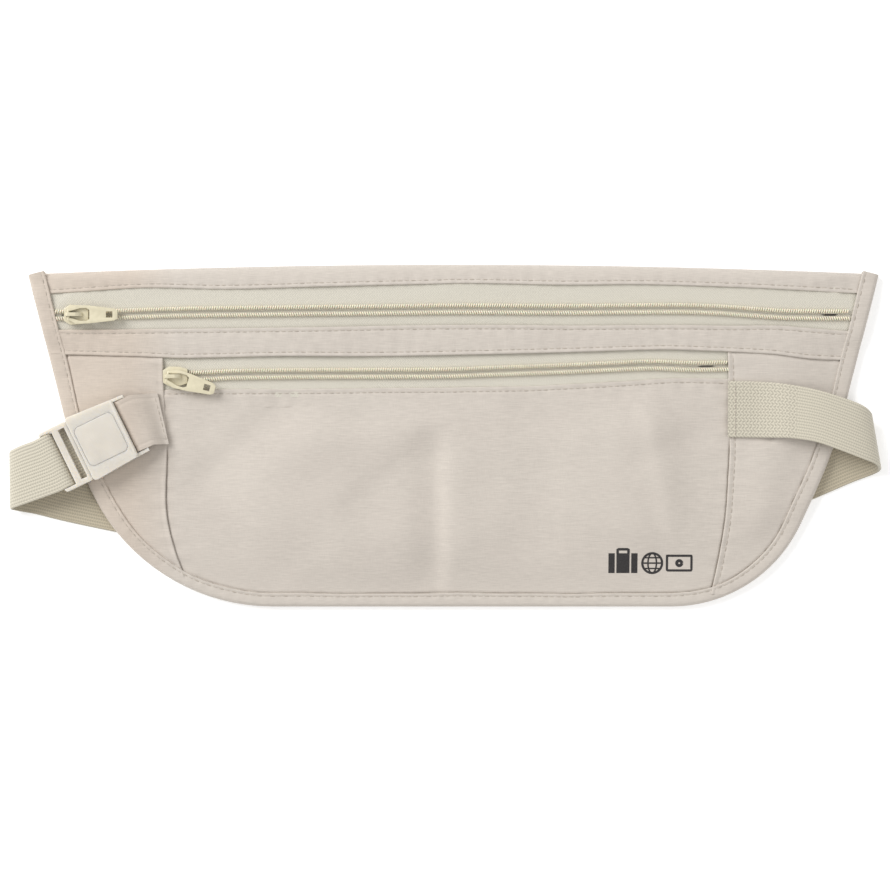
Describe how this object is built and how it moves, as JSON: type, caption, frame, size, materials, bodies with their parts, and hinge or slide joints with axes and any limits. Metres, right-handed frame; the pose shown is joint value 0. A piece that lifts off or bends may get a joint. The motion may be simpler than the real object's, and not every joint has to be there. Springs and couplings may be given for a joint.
{
  "type": "money belt",
  "caption": "Flat cloth waist pouch with two zipped pockets, bound edges, an elastic strap and a push-release buckle, lying on its back.",
  "frame": {"origin": "centre of the object's plan, on the surface that it lies on", "axes": "+X along the belt towards the sewn end of the strap, +Y up the pouch towards its hem, +Z out of the pouch's front"},
  "size_m": [0.3062, 0.1204, 0.0114],
  "materials": {
    "cloth": "plain weave, matt",
    "zip_tape": "woven tape, matt",
    "zip_coil": "semi-matt nylon",
    "elastic": "ribbed elastic webbing",
    "thread": "sewing thread",
    "slider_paint": "semi-gloss paint",
    "buckle_plastic": "milky, semi-gloss"
  },
  "bodies": {
    "root": {"back_panel": "cloth", "divider_panel": "cloth", "front_pocket_panel": "cloth", "left_side_panel": "cloth", "right_side_panel": "cloth", "zip_band": "cloth", "top_hem": "cloth", "edge_binding": "cloth", "upper_zip_top_tape": "zip_tape", "upper_zip_bottom_tape": "zip_tape", "upper_zip_top_coil": "zip_coil", "upper_zip_bottom_coil": "zip_coil", "lower_zip_top_tape": "zip_tape", "lower_zip_bottom_tape": "zip_tape", "lower_zip_top_coil": "zip_coil", "lower_zip_bottom_coil": "zip_coil", "strap_sewn_end": "elastic", "strap_right_fold": "elastic", "strap_back_run": "elastic", "strap_stitching": "thread", "buckle_tab": "cloth", "tab_stitching": "thread", "buckle_socket": "buckle_plastic"},
    "upper_slider": {"upper_slider_body": "slider_paint", "upper_slider_crown": "slider_paint"},
    "upper_pull": {"upper_pull_tab": "slider_paint"},
    "lower_slider": {"lower_slider_body": "slider_paint", "lower_slider_crown": "slider_paint"},
    "lower_pull": {"lower_pull_tab": "slider_paint"},
    "buckle_plug_half": {"buckle_plug": "buckle_plastic", "strap_buckle_loop": "elastic", "strap_left_fold": "elastic"},
    "button": {"push_button": "buckle_plastic"}
  },
  "joints": [
    {"name": "upper_zip_slide", "type": "slide", "parent": "root", "child": "upper_slider", "axis": [1, 0, 0], "range_m": [0, 0.267]},
    {"name": "upper_pull_flip", "type": "hinge", "parent": "upper_slider", "child": "upper_pull", "pos_m": [-0.1319, 0.0424, 0.00675], "axis": [0, -1, 0], "range_deg": [0, 170]},
    {"name": "lower_zip_slide", "type": "slide", "parent": "root", "child": "lower_slider", "axis": [0.9998, 0.0192, 0], "range_m": [0, 0.189]},
    {"name": "lower_pull_flip", "type": "hinge", "parent": "lower_slider", "child": "lower_pull", "pos_m": [-0.09718, 0.02073, 0.00675], "axis": [-0.274, -0.9617, 0], "range_deg": [0, 170]},
    {"name": "buckle_release", "type": "slide", "parent": "root", "child": "buckle_plug_half", "axis": [-0.8988, -0.4384, 0], "range_m": [0, 0.016]},
    {"name": "button_press", "type": "slide", "parent": "root", "child": "button", "axis": [0, 0, -1], "range_m": [0, 0.0012], "stiffness_N_per_m": 400, "springref_m": -0.0003}
  ]
}
